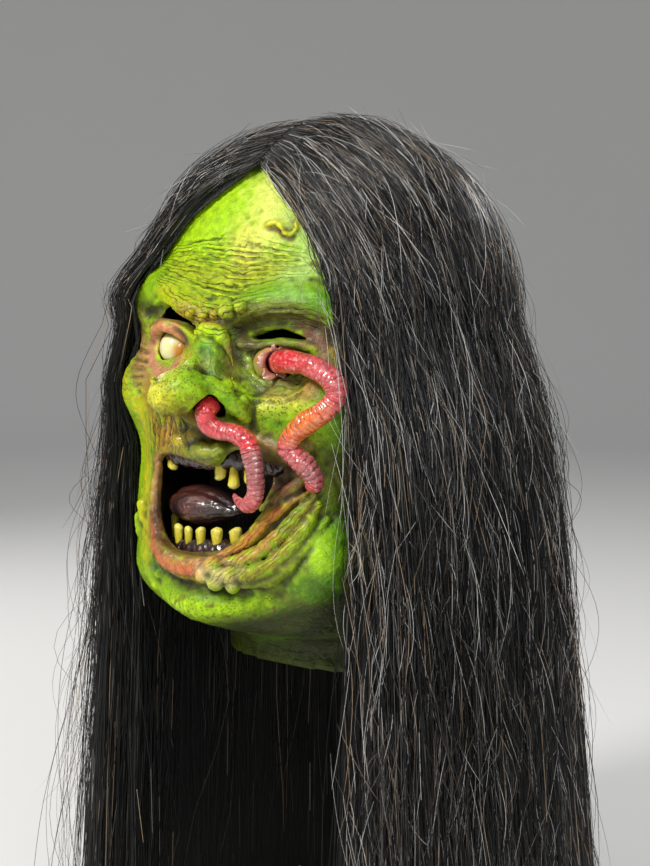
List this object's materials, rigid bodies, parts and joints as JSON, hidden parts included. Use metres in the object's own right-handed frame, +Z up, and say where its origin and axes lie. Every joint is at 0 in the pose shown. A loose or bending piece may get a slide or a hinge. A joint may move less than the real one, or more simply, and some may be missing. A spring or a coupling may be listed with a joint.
{
  "type": "latex halloween mask",
  "caption": "Over-the-head latex ghoul mask with a green rotting face, open mouth of set-in teeth, rubber worms hanging from eye and nose, and long parted black hair.",
  "frame": {"origin": "in the plane of the neck opening's rim, on the centre line, straight below the crown", "axes": "+Z up to the crown, -Y the way the face looks, +X the side of the burst eye (the wearer's left)"},
  "size_m": [0.302, 0.2933, 0.5066],
  "materials": {
    "painted_latex": "airbrushed satin latex, wet in the hollows",
    "black_hair": "glossy straight synthetic fibre",
    "black_net": "stretch wig net",
    "weft_tape": "sewn weft tape",
    "scalp_lace": "fine lace backing",
    "milky_eye": "clear-coated milky yellow",
    "burst_eye": "wet painted rubber",
    "torn_flesh": "wet painted rubber",
    "wet_gum": "high gloss black-brown",
    "wet_tongue": "high gloss dark brown",
    "old_tooth": "stained yellow resin",
    "black_gauze": "fine black gauze",
    "worm_rubber": "glossy ringed rubber"
  },
  "bodies": {
    "mask": {"face_skin": "painted_latex", "wig_cap": "black_net", "weft_tracks": "weft_tape", "parting_strip": "scalp_lace", "crown_hair_left": "black_hair", "crown_hair_right": "black_hair", "crown_hair_back": "black_hair", "milky_eyeball": "milky_eye", "burst_eyeball": "burst_eye", "torn_eye_rim": "torn_flesh", "upper_gum": "wet_gum", "lower_gum": "wet_gum", "tongue": "wet_tongue", "mouth_scrim": "black_gauze", "upper_tooth_1": "old_tooth", "upper_tooth_2": "old_tooth", "upper_tooth_3": "old_tooth", "upper_tooth_4": "old_tooth", "upper_tooth_5": "old_tooth", "lower_tooth_1": "old_tooth", "lower_tooth_2": "old_tooth", "lower_tooth_3": "old_tooth", "lower_tooth_4": "old_tooth", "lower_tooth_5": "old_tooth", "lower_tooth_6": "old_tooth"},
    "hair_left": {"hair_left": "black_hair"},
    "hair_right": {"hair_right": "black_hair"},
    "hair_back": {"hair_back": "black_hair"},
    "eye_worm": {"eye_worm": "worm_rubber"},
    "nose_worm": {"nose_worm": "worm_rubber"}
  },
  "joints": [
    {"name": "hair_left_swing", "type": "hinge", "parent": "mask", "child": "hair_left", "pos_m": [-0.094, 0, 0.192], "axis": [0, 1, 0], "range_deg": [0, 25]},
    {"name": "hair_right_swing", "type": "hinge", "parent": "mask", "child": "hair_right", "pos_m": [0.094, 0, 0.192], "axis": [0, -1, 0], "range_deg": [0, 25]},
    {"name": "hair_back_swing", "type": "hinge", "parent": "mask", "child": "hair_back", "pos_m": [0, 0.105, 0.192], "axis": [1, 0, 0], "range_deg": [0, 25]},
    {"name": "eye_worm_flex", "type": "hinge", "parent": "mask", "child": "eye_worm", "pos_m": [0.036, -0.083, 0.173], "axis": [-1, 0, 0], "range_deg": [0, 18], "stiffness_Nm_per_rad": 0.02},
    {"name": "nose_worm_flex", "type": "hinge", "parent": "mask", "child": "nose_worm", "pos_m": [0.012, -0.106, 0.151], "axis": [-1, 0, 0], "range_deg": [0, 18], "stiffness_Nm_per_rad": 0.02}
  ]
}
